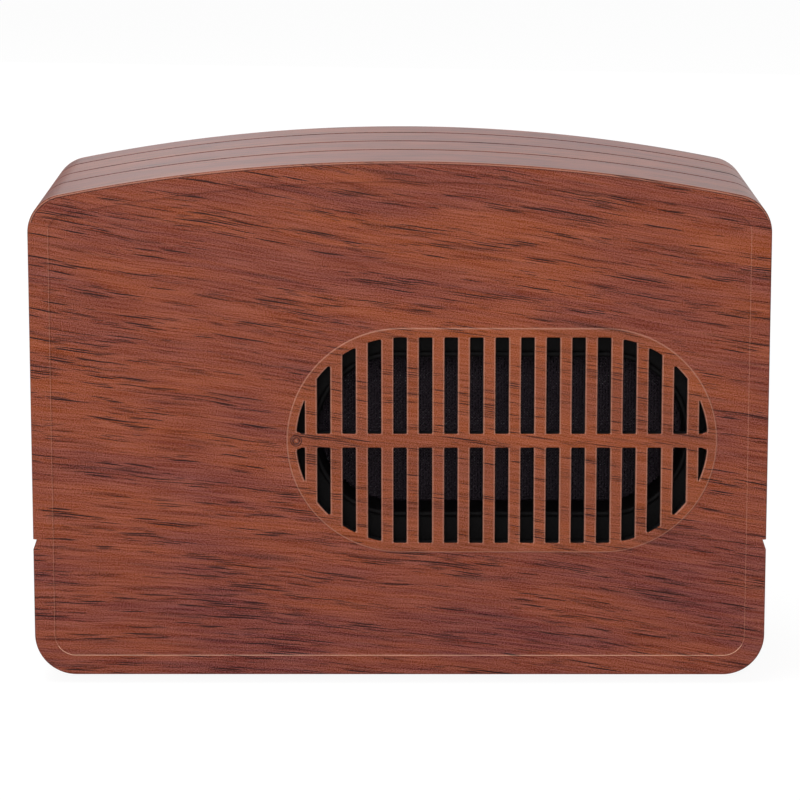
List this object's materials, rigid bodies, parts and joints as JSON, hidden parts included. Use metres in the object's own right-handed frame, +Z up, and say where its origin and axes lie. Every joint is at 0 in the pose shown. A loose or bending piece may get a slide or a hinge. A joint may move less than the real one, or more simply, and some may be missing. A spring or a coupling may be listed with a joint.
{
  "type": "ceramic space heater",
  "caption": "Box-shaped ceramic fan heater with a crowned top, slotted stadium outlet in the front, louvred intake and recessed dials at the back.",
  "frame": {"origin": "middle of the plane that the feet stand on, under the middle of the case", "axes": "+X along the width, to the right when facing the outlet; +Y from the outlet face to the rear; +Z up"},
  "size_m": [0.25, 0.102, 0.1803],
  "materials": {
    "wood_film": "satin printed film with a red-brown wood grain over moulded plastic",
    "black_plastic": "fine matt texture",
    "knob_plastic": "satin",
    "rubber": "matt",
    "zinc_steel": "bright zinc plate",
    "phenolic": "matt moulded",
    "aluminium": "rolled, bare",
    "brass": "rolled, bare",
    "lamination": "stacked steel sheets, edges bare",
    "copper": "enamelled wire",
    "nylon": "natural, satin",
    "bronze": "sintered",
    "red_plastic": "clear gloss"
  },
  "bodies": {
    "case": {"front_shell": "wood_film", "centre_shell": "wood_film", "rear_shell": "wood_film", "intake_grille": "black_plastic", "control_panel": "black_plastic", "outlet_duct": "black_plastic", "guard_screen": "black_plastic", "foot_front_left": "rubber", "foot_front_right": "rubber", "foot_rear_left": "rubber", "foot_rear_right": "rubber", "end_bearing": "rubber", "cord_gland": "rubber", "case_screw_lower_left": "zinc_steel", "case_screw_lower_right": "zinc_steel", "case_screw_upper_left": "zinc_steel", "case_screw_upper_right": "zinc_steel", "air_path_screw_lower_left": "zinc_steel", "air_path_screw_lower_right": "zinc_steel", "air_path_screw_upper_left": "zinc_steel", "air_path_screw_upper_right": "zinc_steel", "scroll_plate": "zinc_steel", "tongue_plate": "zinc_steel", "end_plate_left": "zinc_steel", "end_plate_right": "zinc_steel", "motor_bracket_left": "zinc_steel", "motor_bracket_right": "zinc_steel", "motor_bolt_front": "zinc_steel", "motor_bolt_rear": "zinc_steel", "heater_frame": "phenolic", "thermal_cutout": "phenolic", "thermostat_body": "phenolic", "selector_body": "phenolic", "ptc_bar_1": "aluminium", "ptc_bar_2": "aluminium", "ptc_bar_3": "aluminium", "fin_row_1": "aluminium", "fin_row_2": "aluminium", "fin_row_3": "aluminium", "fin_row_4": "aluminium", "element_tab_1": "brass", "element_tab_2": "brass", "element_tab_3": "brass", "motor_core": "lamination", "coil_winding": "copper", "coil_bobbin": "nylon", "tip_switch": "nylon", "bearing_left": "bronze", "bearing_right": "bronze", "pilot_lens": "red_plastic"},
    "rotor": {"impeller": "black_plastic", "motor_shaft": "zinc_steel", "motor_rotor": "lamination"},
    "thermostat_dial": {"thermostat_knob": "knob_plastic", "thermostat_spindle": "zinc_steel"},
    "selector_dial": {"selector_knob": "knob_plastic", "selector_spindle": "zinc_steel"},
    "tip_over_plunger": {"tip_plunger": "red_plastic"}
  },
  "joints": [
    {"name": "fan_spin", "type": "hinge", "parent": "case", "child": "rotor", "pos_m": [0.03465, 0.0203, 0.0989], "axis": [1, 0, 0], "continuous": true},
    {"name": "thermostat_turn", "type": "hinge", "parent": "case", "child": "thermostat_dial", "pos_m": [-0.086, 0.041, 0.111], "axis": [0, -1, 0], "range_deg": [0, 270]},
    {"name": "selector_turn", "type": "hinge", "parent": "case", "child": "selector_dial", "pos_m": [-0.086, 0.041, 0.073], "axis": [0, -1, 0], "range_deg": [0, 135]},
    {"name": "tip_over_travel", "type": "slide", "parent": "case", "child": "tip_over_plunger", "axis": [0, 0, -1], "range_m": [0, 0.0035], "stiffness_N_per_m": 30, "springref_m": 0.0045}
  ]
}
